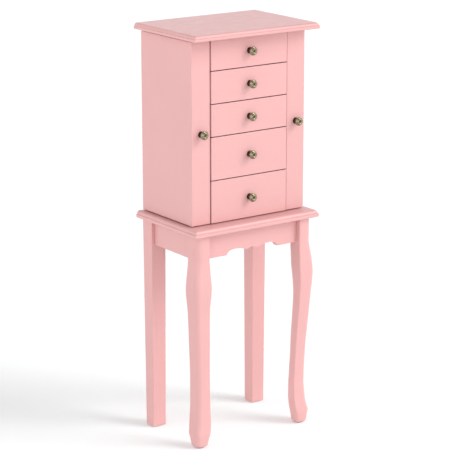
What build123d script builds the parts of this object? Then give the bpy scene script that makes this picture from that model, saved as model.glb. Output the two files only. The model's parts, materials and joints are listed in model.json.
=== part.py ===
from build123d import *
import os

# Jewelry armoire on a four-legged stand: five drawers, two swing-out side doors
# and a flip-up lid over a ring tray.
# Millimetres, +Z up, front faces -Y. Origin on the floor, at the centre of the footprint.

# ---------------------------------------------------------------- driving sizes
body_width = 294.0            # cabinet, outside of one side door to the other
body_depth = 189.0            # cabinet, front face to back face
stand_height = 491.5          # floor to the top face of the stand's board
small_front_pitch = 70.0      # drawers 1 to 3
large_front_pitch = 94.0      # drawers 4 and 5
small_drawer_count = 3
large_drawer_count = 2

lid_thickness = 13.0
lid_front_overhang = 35.0
lid_side_overhang = 16.0
lid_back_overhang = 3.0
lid_gap = 0.5                 # closed lid above the tray walls
lid_reveal = 5.0              # lid underside to the tops of doors and drawer 1

stand_board_thickness = 15.0
stand_front_overhang = 37.0
stand_side_overhang = 17.0
stand_back_overhang = 1.0
edge_inset = 7.6              # moulded edge, horizontal size
edge_step = 2.0               # lip under the moulded arc

leg_size = 34.5
leg_side_inset = 10.7         # outer leg face to the edge of the stand's board
leg_front_inset = 11.5
leg_back_inset = 10.0
rear_leg_widening = 1.3       # on the inner side only
rear_leg_foot_size = 30.0
leg_corner_radius = 3.0
apron_height = 55.0
apron_thickness = 15.0
front_apron_recess = 12.2     # apron face behind the leg face
side_apron_recess = 7.5
scallop_half_width = 67.0
scallop_hump_offset = 43.0
scallop_hump_height = 11.0
scallop_cusp_offset = 15.0
scallop_cusp_height = 4.8
scallop_centre_height = 9.0
brace_leg = 30.0              # corner brace, length along each apron
brace_height = 24.0
brace_bolt_radius = 3.0
brace_bolt_depth = 18.0       # bolt length inside the leg
glide_radius = 8.0
glide_thickness = 2.0

panel_thickness = 12.0        # base, back, partitions, door panels and stiles
door_stile_width = 46.5
door_board_thickness = 9.0
bottom_gap = 2.0              # doors and drawer 5 above the stand's board
front_gap = 1.8               # between neighbouring drawer fronts
front_side_gap = 2.0          # between drawer fronts and stiles
front_thickness = 15.0
front_proud = 2.2             # drawer faces ahead of the stiles
edge_round = 1.0
seam_gap = 1.0                # between a door panel and the fixed cabinet

tray_depth = 26.0
tray_floor_thickness = 6.0
tray_wall_thickness = 9.0
felt_thickness = 1.5
felt_clearance = 0.3          # around felts, dividers and ring rolls
divider_thickness = 3.0
divider_headroom = 2.5        # divider tops below the mirror frame
ring_zone_width = 155.0       # left part of the tray, with the ring rolls
ring_roll_count = 8
ring_roll_height = 14.0
ring_roll_gap = 1.5

mirror_thickness = 3.0
mirror_margin = 22.0          # tray wall to the mirror glass
mirror_frame_width = 12.0
mirror_frame_thickness = 7.0
mirror_rebate = 3.0           # glass edge covered by the frame

runner_height = 7.0
runner_reach = 3.5            # runner inside the drawer's groove
groove_clearance = 0.4
drawer_side_clearance = 1.0
drawer_wall = 9.0
drawer_bottom_thickness = 4.0
drawer_back_gap = 6.0
drawer_lift = 4.0             # box bottom above the front's lower edge
drawer_headroom = 12.0        # box top below the front's upper edge
drawer_base_gap = 2.0         # drawer 5's box above the base
tray_clearance = 2.5          # drawer 1's box below the tray
groove_stop = 9.0             # solid wood ahead of the groove
runner_end_gap = 1.0          # runner end behind the groove's end

knob_radius = 9.5
knob_base_radius = 6.6
knob_waist_radius = 4.2
knob_length = 18.5
knob_base_thickness = 1.6
knob_waist_height = 6.0
knob_head_height = 11.2       # where the head starts to round, from the wood
knob_rim_height = 14.8
knob_dish_radius = 2.2
knob_dish_depth = 1.5
screw_radius = 2.0
screw_clearance = 0.25
screw_grip = 9.0              # screw length inside the knob
screw_head_radius = 4.0
screw_head_height = 2.4
screw_recess = 3.0            # counterbore in the back of a drawer front

hinge_height = 38.0
hinge_barrel_radius = 2.5
hinge_pin_radius = 1.2
hinge_pin_clearance = 0.1
hinge_leaf_width = 11.5
hinge_leaf_thickness = 1.2
hinge_clearance = 0.3
hinge_end_offset = 50.0       # hinge centre from the door's end
lid_hinge_offset = 85.0       # lid hinge centre from the cabinet's middle

hook_count = 5
hook_rail_height = 22.0
hook_rail_thickness = 8.0
hook_rail_drop = 34.0         # rail's top below the door's upper board
hook_rail_front_gap = 23.0    # rail behind the stile
hook_rail_back_gap = 11.5     # rail ahead of the boards' back ends
hook_radius = 1.5
hook_reach = 12.0
hook_tip = 8.0
hook_tip_radius = 2.0
catch_width = 16.0
catch_height = 10.0
catch_length = 7.0
catch_gap = 1.5               # catch behind the stile
stand_screw_radius = 2.0
stand_screw_length = 22.0
stand_screw_inset = 26.0

# ---------------------------------------------------------------- derived places
half_body = body_width / 2
hinge_axis_offset = hinge_barrel_radius + hinge_clearance
hinge_projection = hinge_axis_offset + hinge_barrel_radius
overall_depth = stand_front_overhang + body_depth + hinge_projection
board_front = -overall_depth / 2
body_front = board_front + stand_front_overhang
body_back = body_front + body_depth
board_back = body_back + stand_back_overhang
board_half = half_body + stand_side_overhang
board_underside = stand_height - stand_board_thickness

fronts_height = small_front_pitch * small_drawer_count + large_front_pitch * large_drawer_count
lid_underside = stand_height + fronts_height
cabinet_top = lid_underside - lid_gap
door_bottom = stand_height + bottom_gap
door_top = lid_underside - lid_reveal

front_half = half_body - door_stile_width - front_side_gap
front_face = body_front - front_proud
front_back = front_face + front_thickness
stile_back = body_front + panel_thickness
carcass_front = max(front_back, stile_back) + seam_gap
back_panel_front = body_back - panel_thickness
seam_x = half_body - panel_thickness - seam_gap / 2
carcass_half = half_body - panel_thickness - seam_gap
partition_outer = front_half
partition_inner = partition_outer - panel_thickness
base_top = stand_height + panel_thickness
tray_floor_top = cabinet_top - tray_depth
tray_floor_bottom = tray_floor_top - tray_floor_thickness
tray_inner_half = carcass_half - tray_wall_thickness
tray_inner_front = carcass_front + tray_wall_thickness

hinge_axis_y = body_back + hinge_axis_offset
lid_hinge_axis_z = lid_underside - hinge_axis_offset
door_mid_height = (door_bottom + door_top) / 2
door_knob_x = half_body - door_stile_width / 2

leg_outer_x = board_half - leg_side_inset
leg_inner_x = leg_outer_x - leg_size
rear_leg_width = leg_size + rear_leg_widening
rear_leg_inner_x = leg_outer_x - rear_leg_width
front_leg_face = board_front + leg_front_inset
front_leg_back = front_leg_face + leg_size
rear_leg_face = board_back - leg_back_inset
rear_leg_front = rear_leg_face - leg_size
apron_bottom = board_underside - apron_height
front_apron_face = front_leg_face + front_apron_recess
front_apron_back = front_apron_face + apron_thickness
rear_apron_face = rear_leg_face - side_apron_recess
rear_apron_front = rear_apron_face - apron_thickness
side_apron_face = leg_outer_x - side_apron_recess
side_apron_inner = side_apron_face - apron_thickness


# ---------------------------------------------------------------- helpers
def board(x0, x1, y0, y1, z0, z1):
    """A rectangular board between two opposite corners."""
    middle = Pos((x0 + x1) / 2, (y0 + y1) / 2, (z0 + z1) / 2)
    return middle * Box(abs(x1 - x0), abs(y1 - y0), abs(z1 - z0))


def rod(radius, start, end):
    """A round rod from one point to another."""
    start = Vector(*start)
    end = Vector(*end)
    section = Plane(origin=start, z_dir=end - start) * Circle(radius)
    return extrude(section, (end - start).length)


def eased_front(piece):
    """Rounds the edges around a piece's front face."""
    face = piece.faces().sort_by(Axis.Y)[0]
    return fillet(face.edges(), edge_round)


def moulded_edge(length, thickness, both_ends):
    """Section of a board whose end (or both ends) carries the moulded edge, from 0 to length."""
    middle = thickness / 2
    with BuildSketch(Plane.XY) as section:
        with BuildLine():
            Line((edge_step, 0), (length / 2, 0))
            Line((length / 2, 0), (length / 2, thickness))
            Line((length / 2, thickness), (edge_inset, thickness))
            RadiusArc((edge_inset, thickness), (edge_step, middle + edge_step), -edge_inset)
            Line((edge_step, middle + edge_step), (edge_step, middle))
            Line((edge_step, middle), (0, middle))
            Line((0, middle), (0, edge_step))
            RadiusArc((0, edge_step), (edge_step, 0), -edge_step)
        make_face()
    near = section.sketch
    if both_ends:
        far = near.mirror(Plane.YZ).translate((length, 0, 0))
    else:
        far = Pos(length * 3 / 4, middle) * Rectangle(length / 2, thickness)
    return near + far


def moulded_board(half_width, y0, y1, z0, thickness):
    """A board with the moulded edge at its front and both ends, mitred at the corners."""
    across = moulded_edge(half_width * 2, thickness, True)
    across = Plane(origin=(-half_width, y1, z0), x_dir=(1, 0, 0), z_dir=(0, -1, 0)) * across
    along = moulded_edge(y1 - y0, thickness, False)
    along = Plane(origin=(-half_width, y0, z0), x_dir=(0, 1, 0), z_dir=(1, 0, 0)) * along
    return extrude(across, y1 - y0) & extrude(along, half_width * 2)


def mirrored(shape):
    """The same piece on the other side of the cabinet."""
    return shape.mirror(Plane.YZ)


nodes = {}


def node(name, *pieces):
    """Stores a sub-part as one solid, or as a group of separate solids."""
    nodes[name] = pieces[0] if len(pieces) == 1 else Compound(children=list(pieces))


# ---------------------------------------------------------------- stand
def leg_section(height, outer_shift, inner_shift, outer_radius, back_radius, corner_radius):
    """Section of the right front leg: outer faces and inner faces shifted from its block."""
    x0 = leg_inner_x - inner_shift
    x1 = leg_outer_x + outer_shift
    y0 = front_leg_face - outer_shift
    y1 = front_leg_back + inner_shift
    side = corner_radius
    with BuildSketch(Plane.XY.offset(height)) as section:
        with BuildLine():
            Line((x0 + side, y0), (x1 - outer_radius, y0))
            RadiusArc((x1 - outer_radius, y0), (x1, y0 + outer_radius), -outer_radius)
            Line((x1, y0 + outer_radius), (x1, y1 - side))
            RadiusArc((x1, y1 - side), (x1 - side, y1), -side)
            Line((x1 - side, y1), (x0 + back_radius, y1))
            RadiusArc((x0 + back_radius, y1), (x0, y1 - back_radius), -back_radius)
            Line((x0, y1 - back_radius), (x0, y0 + side))
            RadiusArc((x0, y0 + side), (x0 + side, y0), -side)
        make_face()
    return section.sketch


def front_leg():
    """Cabriole leg: square block, knee, slim ankle and a foot that turns out above its sole."""
    block_bottom = apron_bottom - 1
    # height, outer faces out, inner faces in, outer corner, back corner, side corners
    foot = [
        (glide_thickness, -7.2, -5.2, 6.0, 6.0, 5.0),
        (glide_thickness + 3, -4.4, -2.4, 6.0, 7.0, 4.0),
        (12.0, -3.5, -1.3, 6.0, 9.0, 3.0),
        (24.0, -2.1, 0.8, 7.0, 11.0, 3.0),
        (30.0, -1.7, 2.2, 8.0, 13.0, 3.0),
        (40.0, -3.2, 4.4, 9.0, 16.0, 3.0),
        (52.0, -4.9, 5.9, 11.0, 18.0, 3.0),
        (70.0, -6.5, 6.55, 11.0, 19.0, 3.0),
        (92.0, -7.9, 6.45, 11.0, 19.0, 3.0),
        (118.0, -7.8, 5.85, 11.0, 20.0, 3.0),
    ]
    knee = [
        (block_bottom - 256, -6.4, 4.3, 11.0, 20.0, 3.0),
        (block_bottom - 206, -3.85, 2.75, 11.0, 19.0, 3.0),
        (block_bottom - 181, -2.1, 1.7, 11.0, 19.0, 3.0),
        (block_bottom - 156, -0.5, 0.5, 11.0, 18.0, 3.0),
        (block_bottom - 131, 1.05, -0.3, 11.0, 18.0, 3.0),
        (block_bottom - 111, 2.4, -0.75, 11.0, 17.0, 3.0),
        (block_bottom - 94, 4.0, -0.3, 12.0, 16.0, 3.0),
        (block_bottom - 82, 4.9, 0.5, 13.0, 16.0, 3.0),
        (block_bottom - 70, 5.3, 1.3, 13.0, 16.0, 3.0),
        (block_bottom - 56, 4.8, 1.85, 13.0, 14.0, 3.0),
        (block_bottom - 42, 3.6, 1.45, 13.0, 11.0, 3.0),
        (block_bottom - 26, 2.0, 0.8, 14.0, 7.0, 3.0),
        (block_bottom - 12, 0.7, 0.35, 16.0, 4.0, 3.0),
        (block_bottom, 0.0, 0.0, 18.0, leg_corner_radius, leg_corner_radius),
    ]
    shaped = loft([leg_section(*station) for station in foot + knee])
    top = leg_section(block_bottom, 0, 0, 18.0, leg_corner_radius, leg_corner_radius)
    return shaped + extrude(top, board_underside - block_bottom)


def rear_leg():
    """Straight leg, tapered on all four faces below the aprons."""
    x = leg_outer_x - rear_leg_width / 2
    y = rear_leg_face - leg_size / 2
    foot_width = rear_leg_foot_size + rear_leg_widening
    top = Pos(x, y, apron_bottom) * Rectangle(rear_leg_width, leg_size)
    foot = Pos(x, y, glide_thickness) * Rectangle(foot_width, rear_leg_foot_size)
    return loft([foot, top]) + extrude(top, board_underside - apron_bottom)


def front_apron():
    """Front rail with the scalloped lower edge."""
    span = leg_inner_x
    with BuildSketch(Plane.XZ.offset(-front_apron_back)) as outline:
        with BuildLine():
            Line((scallop_half_width, 0), (span, 0))
            Line((span, 0), (span, apron_height))
            Line((span, apron_height), (0, apron_height))
            Line((0, apron_height), (0, scallop_centre_height))
            Spline((0, scallop_centre_height),
                   (scallop_cusp_offset * 0.7, scallop_cusp_height + 1.2),
                   (scallop_cusp_offset, scallop_cusp_height),
                   tangents=[(1, 0), (1, -0.2)])
            Spline((scallop_cusp_offset, scallop_cusp_height),
                   (scallop_hump_offset, scallop_hump_height),
                   (scallop_half_width, 0),
                   tangents=[(1, 0.5), (0.35, -1)])
        make_face()
    half = Pos(0, 0, apron_bottom) * extrude(outline.sketch, apron_thickness)
    return half + mirrored(half)


def corner_brace(x_leg, y_apron, y_leg, toward):
    """Brace in a right-hand corner, across the leg's inner edge, with its hole for the bolt."""
    z0 = (board_underside + apron_bottom - brace_height) / 2
    outline = Polyline(
        (x_leg, y_apron), (x_leg, y_leg), (side_apron_inner, y_leg),
        (side_apron_inner, y_leg + toward * brace_leg),
        (x_leg - brace_leg, y_apron), close=True)
    brace = extrude(Pos(0, 0, z0) * make_face(outline), brace_height)
    return brace if brace.volume > 0 else -brace


def brace_bolt(x_leg, y_leg, toward, radius):
    """Bolt through the brace into the leg's inner corner, at 45 degrees."""
    z = (board_underside + apron_bottom) / 2
    inward = brace_bolt_depth * 2 ** -0.5
    outward = brace_leg * 2 ** -0.5
    tip = (x_leg + inward, y_leg - toward * inward, z)
    tail = (x_leg - outward, y_leg + toward * outward, z)
    return rod(radius, tip, tail)


def stand_screw_places():
    inset_x = partition_inner - stand_screw_inset
    for x in (-inset_x, inset_x):
        for y in (carcass_front + stand_screw_inset, back_panel_front - stand_screw_inset):
            yield x, y


def build_stand():
    top = moulded_board(board_half, board_front, board_back, board_underside,
                        stand_board_thickness)
    screws = []
    for x, y in stand_screw_places():
        hole = rod(stand_screw_radius + screw_clearance, (x, y, board_underside),
                   (x, y, stand_height))
        top -= hole
        shank = rod(stand_screw_radius, (x, y, board_underside - screw_head_height),
                    (x, y, board_underside - screw_head_height + stand_screw_length))
        head = rod(screw_head_radius, (x, y, board_underside - screw_head_height),
                   (x, y, board_underside))
        screws.append(shank + head)
    node("stand_top", top)

    node("front_apron", front_apron())
    node("rear_apron", board(-rear_leg_inner_x, rear_leg_inner_x, rear_apron_front,
                             rear_apron_face, apron_bottom, board_underside))
    side = board(side_apron_inner, side_apron_face, front_leg_back, rear_leg_front,
                 apron_bottom, board_underside)
    node("right_apron", side)
    node("left_apron", mirrored(side))

    corners = {
        "front": (front_leg(), leg_inner_x, front_apron_back, front_leg_back, 1),
        "rear": (rear_leg(), rear_leg_inner_x, rear_apron_front, rear_leg_front, -1),
    }
    braces = []
    bolts = []
    glides = []
    for place, (leg, x_leg, y_apron, y_leg, toward) in corners.items():
        hole = brace_bolt(x_leg, y_leg, toward, brace_bolt_radius + screw_clearance)
        leg -= hole
        brace = corner_brace(x_leg, y_apron, y_leg, toward) - hole
        bolt = brace_bolt(x_leg, y_leg, toward, brace_bolt_radius)
        sole = leg.faces().sort_by(Axis.Z)[0].center()
        glide = rod(glide_radius, (sole.X, sole.Y, 0), (sole.X, sole.Y, glide_thickness))
        node(place + "_right_leg", leg)
        node(place + "_left_leg", mirrored(leg))
        braces += [brace, mirrored(brace)]
        bolts += [bolt, mirrored(bolt)]
        glides += [glide, mirrored(glide)]
    node("corner_braces", *braces)
    node("stand_screws", *bolts, *screws)
    node("foot_glides", *glides)


# ---------------------------------------------------------------- drawers
def drawer_levels():
    """Bottom and top of each drawer front, from drawer 1 at the top to drawer 5."""
    upper = lid_underside
    pitches = [small_front_pitch] * small_drawer_count + [large_front_pitch] * large_drawer_count
    for index, pitch in enumerate(pitches):
        lower = upper - pitch
        top = door_top if index == 0 else upper - front_gap / 2
        bottom = door_bottom if index == len(pitches) - 1 else lower + front_gap / 2
        yield index + 1, bottom, top
        upper = lower


def drawer_box_heights(bottom, top):
    """Bottom and top of a drawer's box, clear of the cabinet's base and of the tray."""
    box_bottom = max(bottom + drawer_lift, base_top + drawer_base_gap)
    box_top = min(top - drawer_headroom, tray_floor_bottom - tray_clearance)
    return box_bottom, box_top


def knob(x, y, z):
    """Turned knob with a footed base, a waist and a dished head with a raised ring."""
    ring = (knob_radius + knob_dish_radius) / 2
    with BuildSketch(Plane.XZ) as outline:
        with BuildLine():
            Polyline((0, 0), (knob_base_radius, 0), (knob_base_radius, knob_base_thickness))
            Spline((knob_base_radius, knob_base_thickness),
                   (knob_waist_radius, knob_waist_height),
                   (knob_radius - 1, knob_head_height), tangents=[(-0.6, 1), (1, 0.35)])
            Spline((knob_radius - 1, knob_head_height), (knob_radius, knob_rim_height - 2),
                   (knob_radius - 1.6, knob_rim_height), tangents=[(0.8, 1), (-1, 0.35)])
            Spline((knob_radius - 1.6, knob_rim_height), (ring, knob_length),
                   (knob_dish_radius, knob_length - knob_dish_depth + 0.3),
                   tangents=[(-0.6, 1), (-0.7, -1)])
            Line((knob_dish_radius, knob_length - knob_dish_depth + 0.3),
                 (0, knob_length - knob_dish_depth))
            Line((0, knob_length - knob_dish_depth), (0, 0))
        make_face()
    turned = revolve(outline.sketch, Axis.Z)
    turned -= rod(screw_radius, (0, 0, 0), (0, 0, screw_grip))
    return Pos(x, y, z) * Rot(90, 0, 0) * turned


def knob_screw(x, y_knob, y_seat, z):
    """Screw through the wood and into the knob, its head seated against the wood."""
    shank = rod(screw_radius, (x, y_knob - screw_grip, z), (x, y_seat, z))
    head = rod(screw_head_radius, (x, y_seat, z), (x, y_seat + screw_head_height, z))
    return shank + head


def knob_hole(x, y0, y1, z):
    return rod(screw_radius + screw_clearance, (x, y0, z), (x, y1, z))


def build_drawer(index, bottom, top):
    name = f"drawer_{index}_"
    knob_z = (bottom + top) / 2
    if index == 1:
        knob_z = lid_underside - small_front_pitch / 2
    box_bottom, box_top = drawer_box_heights(bottom, top)
    box_half = partition_inner - drawer_side_clearance
    box_front = front_back
    box_back = back_panel_front - drawer_back_gap
    inner_front = box_front + drawer_wall
    inner_back = box_back - drawer_wall
    inner_half = box_half - drawer_wall
    screw_seat = front_back - screw_recess

    front = eased_front(board(-front_half, front_half, front_face, front_back, bottom, top))
    front -= knob_hole(0, front_face, screw_seat, knob_z)
    front -= rod(screw_head_radius + screw_clearance, (0, screw_seat, knob_z),
                 (0, front_back, knob_z))
    node(name + "front", front)

    middle = (box_bottom + box_top) / 2
    groove_half = runner_height / 2 + groove_clearance
    groove = board(box_half - runner_reach - groove_clearance, box_half + 1,
                   box_front + groove_stop, box_back + 1, middle - groove_half,
                   middle + groove_half)
    side = board(inner_half, box_half, box_front, box_back, box_bottom, box_top) - groove
    inner = board(-inner_half, inner_half, box_front, inner_front, box_bottom, box_top)
    back = board(-inner_half, inner_half, inner_back, box_back, box_bottom, box_top)
    bottom_board = board(-inner_half, inner_half, inner_front, inner_back, box_bottom,
                         box_bottom + drawer_bottom_thickness)
    node(name + "box", side, mirrored(side), inner, back, bottom_board)

    felt = box_bottom + drawer_bottom_thickness
    felt_half = inner_half - felt_clearance
    node(name + "lining", board(-felt_half, felt_half, inner_front + felt_clearance,
                                inner_back - felt_clearance, felt, felt + felt_thickness))
    node(name + "knob", knob(0, front_face, knob_z),
         knob_screw(0, front_face, screw_seat, knob_z))
    return middle


# ---------------------------------------------------------------- cabinet
def build_cabinet(runner_levels):
    base = board(-carcass_half, carcass_half, carcass_front, back_panel_front,
                 stand_height, base_top)
    for x, y in stand_screw_places():
        base -= rod(stand_screw_radius + screw_clearance, (x, y, stand_height), (x, y, base_top))
    node("cabinet_base", base)
    node("cabinet_back", board(-carcass_half, carcass_half, back_panel_front, body_back,
                               stand_height, cabinet_top))
    partition = board(partition_inner, partition_outer, carcass_front, back_panel_front,
                      base_top, tray_floor_bottom)
    node("right_partition", partition)
    node("left_partition", mirrored(partition))

    runner_inner = partition_inner - drawer_side_clearance - runner_reach
    runners = []
    for middle in runner_levels:
        runner = board(runner_inner, partition_inner, front_back + groove_stop + runner_end_gap,
                       back_panel_front, middle - runner_height / 2, middle + runner_height / 2)
        runners += [runner, mirrored(runner)]
    node("drawer_runners", *runners)

    node("tray_floor", board(-carcass_half, carcass_half, carcass_front, back_panel_front,
                             tray_floor_bottom, tray_floor_top))
    front_wall = board(-carcass_half, carcass_half, carcass_front, tray_inner_front,
                       tray_floor_top, cabinet_top)
    side_wall = board(tray_inner_half, carcass_half, tray_inner_front, back_panel_front,
                      tray_floor_top, cabinet_top)
    node("tray_walls", front_wall, side_wall, mirrored(side_wall))

    felt_top = tray_floor_top + felt_thickness
    divider_top = lid_underside - mirror_frame_thickness - divider_headroom
    lining_half = tray_inner_half - felt_clearance
    lining_front = tray_inner_front + felt_clearance
    lining_back = back_panel_front - felt_clearance
    node("tray_lining", board(-lining_half, lining_half, lining_front, lining_back,
                              tray_floor_top, felt_top))
    split_x = ring_zone_width - tray_inner_half
    split_y = (tray_inner_front + back_panel_front) / 2
    long_divider = board(split_x, split_x + divider_thickness, lining_front, lining_back,
                         felt_top, divider_top)
    cross_divider = board(split_x + divider_thickness, lining_half,
                          split_y - divider_thickness / 2, split_y + divider_thickness / 2,
                          felt_top, divider_top)
    node("tray_dividers", long_divider, cross_divider)

    roll_pitch = (back_panel_front - tray_inner_front - ring_roll_gap) / ring_roll_count
    roll_depth = roll_pitch - ring_roll_gap
    roll_bottom = felt_top + felt_clearance
    rolls = []
    for index in range(ring_roll_count):
        y = tray_inner_front + ring_roll_gap + index * roll_pitch
        roll = board(-tray_inner_half + ring_roll_gap, split_x - ring_roll_gap, y,
                     y + roll_depth, roll_bottom, roll_bottom + ring_roll_height)
        upper = roll.edges().filter_by(Axis.X).group_by(Axis.Z)[-1]
        rolls.append(fillet(upper, roll_depth * 0.4))
    node("ring_rolls", *rolls)

    catch_y = stile_back + catch_gap
    catch = board(partition_outer, partition_outer + catch_length, catch_y,
                  catch_y + catch_width, door_mid_height - catch_height / 2,
                  door_mid_height + catch_height / 2)
    node("door_catches", catch, mirrored(catch))


# ---------------------------------------------------------------- hinges
def hinge_leaf(side, plate_y, spans):
    """A leaf on one side (+1 or -1 along X) of a hinge axis on Z, with its knuckles."""
    near = hinge_barrel_radius + hinge_clearance
    bore = hinge_pin_radius + hinge_pin_clearance
    leaf = board(side * near, side * hinge_leaf_width, plate_y, plate_y + hinge_leaf_thickness,
                 -hinge_height / 2, hinge_height / 2)
    for z0, z1 in spans:
        leaf += board(0, side * near, plate_y, plate_y + hinge_leaf_thickness, z0, z1)
        leaf += rod(hinge_barrel_radius, (0, 0, z0), (0, 0, z1))
    return leaf - rod(bore, (0, 0, -hinge_height), (0, 0, hinge_height))


def hinge(moving_plate_y):
    """Fixed leaf, its pin, and the moving leaf, about a Z axis at the origin."""
    third = hinge_height / 6
    end = hinge_height / 2
    gap = hinge_clearance / 2
    fixed = hinge_leaf(1, -hinge_axis_offset, [(-end, -third - gap), (third + gap, end)])
    moving = hinge_leaf(-1, moving_plate_y, [(-third + gap, third - gap)])
    pin = rod(hinge_pin_radius, (0, 0, -end), (0, 0, end))
    return fixed, pin, moving


def door_hinge_places():
    for z in (door_bottom + hinge_end_offset, door_top - hinge_end_offset):
        yield Pos(seam_x, hinge_axis_y, z)


def build_hinges():
    fixed_pieces = []
    door_leaves = []
    fixed, pin, moving = [piece.mirror(Plane.YZ) for piece in hinge(-hinge_axis_offset)]
    for place in door_hinge_places():
        fixed_pieces += [place * fixed, place * pin]
        door_leaves.append(place * moving)
    fixed_pieces += [mirrored(piece) for piece in fixed_pieces]
    node("right_door_hinge_leaves", *door_leaves)
    node("left_door_hinge_leaves", *[mirrored(piece) for piece in door_leaves])

    lid_edge = lid_back_overhang - hinge_axis_offset
    fixed, pin, moving = hinge(lid_edge)
    lid_leaves = []
    for x in (-lid_hinge_offset, lid_hinge_offset):
        place = Pos(x, hinge_axis_y, lid_hinge_axis_z) * Rot(0, 90, 0)
        fixed_pieces += [place * fixed, place * pin]
        lid_leaves.append(place * moving)
    node("lid_hinge_leaves", *lid_leaves)
    node("cabinet_hinge_leaves", *fixed_pieces)


# ---------------------------------------------------------------- lid
def build_lid():
    lid = moulded_board(half_body + lid_side_overhang, body_front - lid_front_overhang,
                        body_back + lid_back_overhang, lid_underside, lid_thickness)
    node("lid_panel", lid)
    x = tray_inner_half - mirror_margin
    y0 = tray_inner_front + mirror_margin
    y1 = back_panel_front - mirror_margin
    glass_bottom = lid_underside - mirror_thickness
    node("lid_mirror", board(-x, x, y0, y1, glass_bottom, lid_underside))
    width = mirror_frame_width
    bottom = lid_underside - mirror_frame_thickness
    frame = board(-x - width + mirror_rebate, x + width - mirror_rebate,
                  y0 - width + mirror_rebate, y1 + width - mirror_rebate, bottom, lid_underside)
    frame -= board(-x, x, y0, y1, glass_bottom, lid_underside)
    frame -= board(-x + mirror_rebate, x - mirror_rebate, y0 + mirror_rebate,
                   y1 - mirror_rebate, bottom, lid_underside)
    node("mirror_frame", frame)


# ---------------------------------------------------------------- side doors
def hook(x, y, z):
    """Brass necklace hook: a peg with a turned-up tip."""
    return rod(hook_radius, (x, y, z), (x - hook_reach, y, z)) \
        + Pos(x - hook_reach, y, z) * Sphere(hook_radius) \
        + rod(hook_radius, (x - hook_reach, y, z), (x - hook_reach, y, z + hook_tip)) \
        + Pos(x - hook_reach, y, z + hook_tip) * Sphere(hook_tip_radius)


def build_door():
    """The right side door; the left one is its mirror image."""
    panel_inner = half_body - panel_thickness
    stile_inner = half_body - door_stile_width
    panel = board(panel_inner, half_body, stile_back, body_back, door_bottom, door_top)
    stile = board(stile_inner, half_body, body_front, stile_back, door_bottom, door_top)
    stile = eased_front(stile) - knob_hole(door_knob_x, body_front, stile_back, door_mid_height)
    board_back_y = back_panel_front - 2 * seam_gap
    boards = []
    lower = base_top + 2 * seam_gap
    upper = tray_floor_bottom - 2 * seam_gap - door_board_thickness
    for z in (lower, upper):
        boards.append(board(stile_inner + seam_gap, panel_inner, stile_back, board_back_y,
                            z, z + door_board_thickness))
    rail_top = upper - hook_rail_drop
    rail_front = stile_back + hook_rail_front_gap
    rail_back = board_back_y - hook_rail_back_gap
    rail_face = panel_inner - hook_rail_thickness
    rail = board(rail_face, panel_inner, rail_front, rail_back, rail_top - hook_rail_height,
                 rail_top)
    hooks = []
    pitch = (rail_back - rail_front) / hook_count
    for index in range(hook_count):
        y = rail_front + (index + 0.5) * pitch
        hooks.append(hook(rail_face, y, rail_top - hook_rail_height / 2))
    pieces = {
        "panel": [panel],
        "stile": [stile],
        "inner_boards": boards + [rail],
        "necklace_hooks": hooks,
        "knob": [knob(door_knob_x, body_front, door_mid_height),
                 knob_screw(door_knob_x, body_front, stile_back, door_mid_height)],
    }
    for name, solids in pieces.items():
        node("right_door_" + name, *solids)
        node("left_door_" + name, *[mirrored(solid) for solid in solids])


# ---------------------------------------------------------------- whole armoire
build_stand()
build_cabinet([build_drawer(*level) for level in drawer_levels()])
build_lid()
build_door()
build_hinges()

os.makedirs("parts", exist_ok=True)
for name, shape in nodes.items():
    export_step(shape, f"parts/{name}.step")
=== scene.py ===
import json
import math

import bmesh
import bpy
import numpy as np
from mathutils import Euler, Matrix, Vector, noise

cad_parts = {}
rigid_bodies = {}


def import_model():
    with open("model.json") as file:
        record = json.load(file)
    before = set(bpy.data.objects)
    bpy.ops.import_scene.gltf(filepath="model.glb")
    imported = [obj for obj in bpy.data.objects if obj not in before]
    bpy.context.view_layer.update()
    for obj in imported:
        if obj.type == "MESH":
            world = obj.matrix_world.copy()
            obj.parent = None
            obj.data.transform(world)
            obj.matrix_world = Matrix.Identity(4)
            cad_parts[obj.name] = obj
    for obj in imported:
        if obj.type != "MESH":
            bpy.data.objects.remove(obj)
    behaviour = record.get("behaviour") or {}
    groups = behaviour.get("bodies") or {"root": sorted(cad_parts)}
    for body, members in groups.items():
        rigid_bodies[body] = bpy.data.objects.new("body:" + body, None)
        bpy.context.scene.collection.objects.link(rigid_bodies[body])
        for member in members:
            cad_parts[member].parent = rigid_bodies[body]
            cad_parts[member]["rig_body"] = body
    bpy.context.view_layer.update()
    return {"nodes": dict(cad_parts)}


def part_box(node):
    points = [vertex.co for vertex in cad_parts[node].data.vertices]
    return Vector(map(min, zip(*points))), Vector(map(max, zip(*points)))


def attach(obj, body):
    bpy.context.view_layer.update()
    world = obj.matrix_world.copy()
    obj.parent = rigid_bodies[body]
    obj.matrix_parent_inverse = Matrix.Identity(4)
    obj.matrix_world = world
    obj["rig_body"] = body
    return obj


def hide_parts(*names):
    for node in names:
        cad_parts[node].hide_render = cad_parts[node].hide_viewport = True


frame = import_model()

MM = 0.001
scene = bpy.context.scene
nodes = frame["nodes"]


# ------------------------------------------------------------------ mesh helpers
def body_of(node):
    """The name of the body that a CAD node rides on."""
    return nodes[node]["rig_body"]


def add_piece(name, mesh, body, material, replaced=()):
    """Links a mesh as a named piece that rides on a body."""
    mesh.materials.clear()
    mesh.materials.append(material)
    for polygon in mesh.polygons:
        polygon.material_index = 0
    piece = bpy.data.objects.new(name, mesh)
    scene.collection.objects.link(piece)
    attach(piece, body)
    if replaced:
        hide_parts(*replaced)
    return piece


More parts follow.
